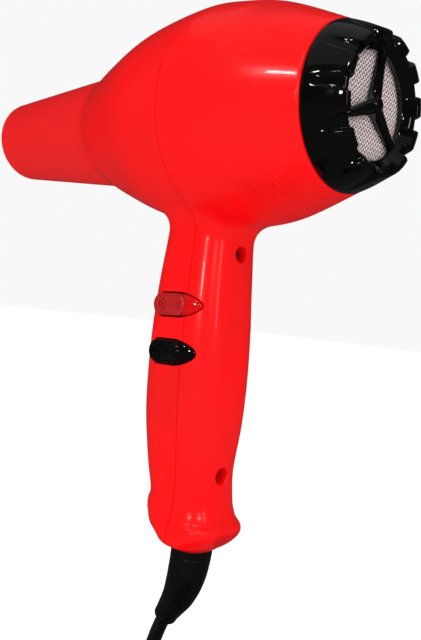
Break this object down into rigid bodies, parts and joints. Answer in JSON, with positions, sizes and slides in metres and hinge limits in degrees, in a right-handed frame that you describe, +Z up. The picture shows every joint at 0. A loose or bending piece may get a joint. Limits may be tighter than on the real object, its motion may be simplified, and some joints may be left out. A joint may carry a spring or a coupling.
{
  "type": "hair dryer",
  "caption": "Hand-held hair dryer: two-shell body with rear fan and motor, wire heater behind the nozzle, two rocker switches, twist-off intake cap and mains cord.",
  "frame": {"origin": "middle of the hand grip, on the handle's centre line, 115 mm below the barrel's axis", "axes": "+Z up, along the handle towards the barrel; -X the way the air leaves the nozzle; +Y the side away from the switches"},
  "size_m": [0.2459, 0.1958, 0.3462],
  "materials": {
    "red_gloss": "high gloss moulded",
    "black_gloss": "high gloss moulded",
    "black_rubber": "smooth flexible",
    "steel": "machined or pressed",
    "heating_wire": "drawn resistance wire",
    "filter_steel": "woven fine wire",
    "nylon": "satin moulded",
    "ivory": "satin moulded",
    "copper": "enamelled winding",
    "brass": "turned or pressed",
    "carbon": "pressed carbon, matt",
    "mica": "pressed mica sheet",
    "amber": "dipped",
    "brown_lead": "smooth insulation",
    "blue_lead": "smooth insulation"
  },
  "bodies": {
    "body": {"front_shell": "red_gloss", "rear_shell": "red_gloss", "strain_relief": "black_rubber", "cord_drop": "black_rubber", "cord_tail": "black_rubber", "cord_coil": "black_rubber", "plug_body": "black_rubber", "upper_handle_screw": "steel", "lower_handle_screw": "steel", "stator_stack": "steel", "front_motor_bracket": "steel", "rear_motor_bracket": "steel", "thermal_fuse": "steel", "heating_wire_front": "heating_wire", "heating_wire_rear": "heating_wire", "heat_switch_body": "nylon", "speed_switch_body": "nylon", "coil_tie": "nylon", "outlet_grille": "nylon", "fan_housing": "ivory", "switch_bracket": "ivory", "terminal_block": "ivory", "field_coil_upper": "copper", "field_coil_lower": "copper", "front_bearing": "brass", "rear_bearing": "brass", "left_brush_holder": "brass", "right_brush_holder": "brass", "thermostat": "brass", "left_plug_pin": "brass", "right_plug_pin": "brass", "left_brush": "carbon", "right_brush": "carbon", "mica_board_upright": "mica", "mica_board_level": "mica", "heater_sleeve": "mica", "suppression_capacitor": "amber", "live_lead": "brown_lead", "heater_lead": "brown_lead", "neutral_lead": "blue_lead"},
    "rotor": {"motor_shaft": "steel", "armature_core": "steel", "armature_winding_front": "copper", "armature_winding_rear": "copper", "commutator": "copper", "fan_impeller": "nylon", "fan_nut": "brass"},
    "intake_cap": {"rear_cap": "black_gloss", "filter_mesh": "filter_steel", "filter_ring": "nylon"},
    "heat_rocker": {"heat_rocker": "red_gloss"},
    "speed_rocker": {"speed_rocker": "black_gloss"}
  },
  "joints": [
    {"name": "fan_spin", "type": "hinge", "parent": "body", "child": "rotor", "pos_m": [0.005, 0, 0.115], "axis": [-1, 0, 0], "continuous": true},
    {"name": "cap_twist", "type": "hinge", "parent": "body", "child": "intake_cap", "pos_m": [0.0626, 0, 0.115], "axis": [1, 0, 0], "range_deg": [0, 25]},
    {"name": "heat_rocker_tilt", "type": "hinge", "parent": "body", "child": "heat_rocker", "pos_m": [0.0001, -0.014, 0.0342], "axis": [-0.0523, 0, 0.9986], "range_deg": [-4, 4]},
    {"name": "speed_rocker_tilt", "type": "hinge", "parent": "body", "child": "speed_rocker", "pos_m": [0.0001, -0.014, 0.0142], "axis": [-0.0523, 0, 0.9986], "range_deg": [-4, 4]}
  ]
}
